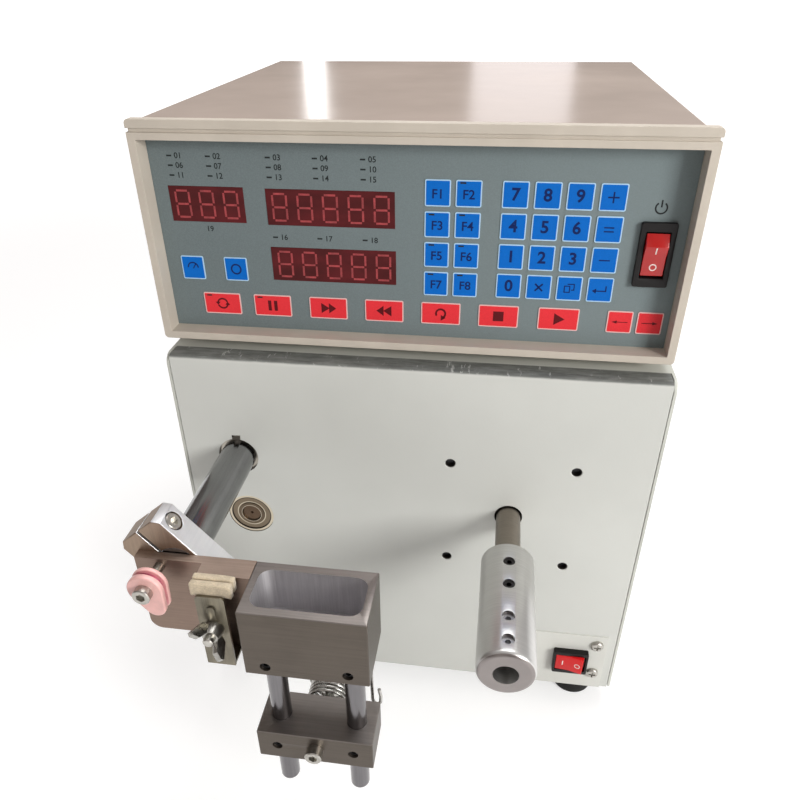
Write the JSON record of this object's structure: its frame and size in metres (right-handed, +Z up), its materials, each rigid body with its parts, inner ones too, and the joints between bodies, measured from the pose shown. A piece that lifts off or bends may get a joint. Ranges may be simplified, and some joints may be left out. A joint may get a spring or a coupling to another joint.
{
  "type": "wire coil winding machine",
  "caption": "Two-box bench machine: a spindle sleeve and a traversing wire guide on the lower box, a keypad controller with display windows on top.",
  "frame": {"origin": "on the table, under the centre of the bounding box", "axes": "+Z up, -Y out of the front, +X to the right seen from the front; the spindle lies along Y"},
  "size_m": [0.2748, 0.3874, 0.3648],
  "materials": {
    "body_paint": "satin pale grey powder paint",
    "cover_paint": "fine textured warm grey paint",
    "plate_paint": "satin pale grey",
    "bar_steel": "cold drawn",
    "screw_steel": "plain",
    "shaft_steel": "ground and polished",
    "bearing_steel": "ground",
    "spring_steel": "plain wire",
    "dark_steel": "dark oxide",
    "motor_steel": "laminated core",
    "zinc_plated": "zinc plated",
    "rod_chrome": "hard chrome",
    "bare_aluminium": "machined",
    "motor_aluminium": "die cast",
    "bronze": "machined bronze",
    "motor_black": "black enamel",
    "foot_rubber": "matt",
    "switch_black": "moulded",
    "rocker_red": "moulded",
    "shoe_ceramic": "glazed pink",
    "felt": "pressed felt",
    "bezel_plastic": "cream satin",
    "panel_film": "matt grey-green film",
    "window_red": "dark red filter",
    "key_blue": "printed film",
    "key_red": "printed film",
    "board_green": "solder resist"
  },
  "bodies": {
    "machine": {"front_plate": "body_paint", "base_plate": "body_paint", "rear_panel": "body_paint", "top_sheet": "body_paint", "side_sheets": "body_paint", "tie_bars": "bar_steel", "case_screws": "screw_steel", "rubber_feet": "foot_rubber", "switch_plate": "plate_paint", "stop_switch_housing": "switch_black", "motor_flange": "motor_aluminium", "motor_stator": "motor_steel", "motor_rear_bell": "motor_aluminium", "motor_bolts": "screw_steel", "ball_bearings": "bearing_steel", "linear_bush": "bearing_steel", "drive_bracket": "bare_aluminium", "stepper_motor": "motor_black", "bezel_frame": "bezel_plastic", "key_panel": "panel_film", "display_windows": "window_red", "blue_keys": "key_blue", "red_keys": "key_red", "power_switch_housing": "switch_black", "top_cover": "cover_paint", "side_covers": "cover_paint", "base_tray": "cover_paint", "case_rear_panel": "cover_paint", "control_board": "board_green", "transformer": "motor_steel", "mains_inlet": "switch_black", "signal_sockets": "zinc_plated", "case_feet": "foot_rubber"},
    "spindle": {"motor_rotor": "motor_steel", "spindle_shaft": "shaft_steel", "spindle_sleeve": "bare_aluminium", "sleeve_set_screws": "screw_steel"},
    "traverse": {"traverse_shaft": "shaft_steel", "carriage_block": "bare_aluminium", "lead_nut": "bronze"},
    "lead_screw": {"lead_screw": "shaft_steel"},
    "wire_guide": {"clamp_arm": "bare_aluminium", "clamp_screw": "screw_steel", "guide_plate": "bare_aluminium", "shoe_screw": "screw_steel", "felt_pads": "felt", "tension_stud": "screw_steel", "cup_block": "bare_aluminium", "guide_rods": "rod_chrome", "cup_set_screws": "screw_steel"},
    "shoe": {"guide_shoe": "shoe_ceramic"},
    "felt_press": {"pressure_plate": "dark_steel"},
    "wing": {"wing_nut": "zinc_plated"},
    "lower_slide": {"lower_block": "bare_aluminium", "lower_set_screws": "screw_steel", "centre_screw": "screw_steel", "tension_spring": "spring_steel", "tension_disc": "zinc_plated"},
    "stop_switch": {"stop_rocker": "rocker_red"},
    "power_switch": {"power_rocker": "rocker_red"}
  },
  "joints": [
    {"name": "spindle_spin", "type": "hinge", "parent": "machine", "child": "spindle", "pos_m": [0.0575, -0.06425, 0.153], "axis": [0, -1, 0], "continuous": true},
    {"name": "traverse_slide", "type": "slide", "parent": "machine", "child": "traverse", "axis": [0, -1, 0], "range_m": [-0.06, 0.02]},
    {"name": "lead_screw_turn", "type": "hinge", "parent": "machine", "child": "lead_screw", "pos_m": [-0.099, -0.06425, 0.1385], "axis": [0, -1, 0], "continuous": true},
    {"name": "guide_swing", "type": "hinge", "parent": "traverse", "child": "wire_guide", "pos_m": [-0.1015, -0.14875, 0.182], "axis": [0, -1, 0], "range_deg": [-25, 30]},
    {"name": "shoe_swivel", "type": "hinge", "parent": "wire_guide", "child": "shoe", "pos_m": [-0.108, -0.17425, 0.1845], "axis": [0, -1, 0], "range_deg": [-30, 30]},
    {"name": "felt_press_slide", "type": "slide", "parent": "wire_guide", "child": "felt_press", "axis": [0, -1, 0], "range_m": [0, 0.002]},
    {"name": "wing_nut_turn", "type": "hinge", "parent": "felt_press", "child": "wing", "pos_m": [-0.0771, -0.18225, 0.166], "axis": [0, -1, 0], "range_deg": [0, 900]},
    {"name": "lower_block_slide", "type": "slide", "parent": "wire_guide", "child": "lower_slide", "axis": [0, 0, 1], "range_m": [-0.02, 0.03]},
    {"name": "stop_rocker_tip", "type": "hinge", "parent": "machine", "child": "stop_switch", "pos_m": [0.106, -0.06425, 0.039], "axis": [0, 0, 1], "range_deg": [0, 18]},
    {"name": "power_rocker_tip", "type": "hinge", "parent": "machine", "child": "power_switch", "pos_m": [0.1152, -0.04425, 0.3056], "axis": [1, 0, 0], "range_deg": [-18, 0]}
  ],
  "couplings": [
    {"joint": "lead_screw_turn", "follows": "traverse_slide", "rad_per_m": 1570.8},
    {"joint": "wing_nut_turn", "follows": "felt_press_slide", "rad_per_m": 7854}
  ]
}
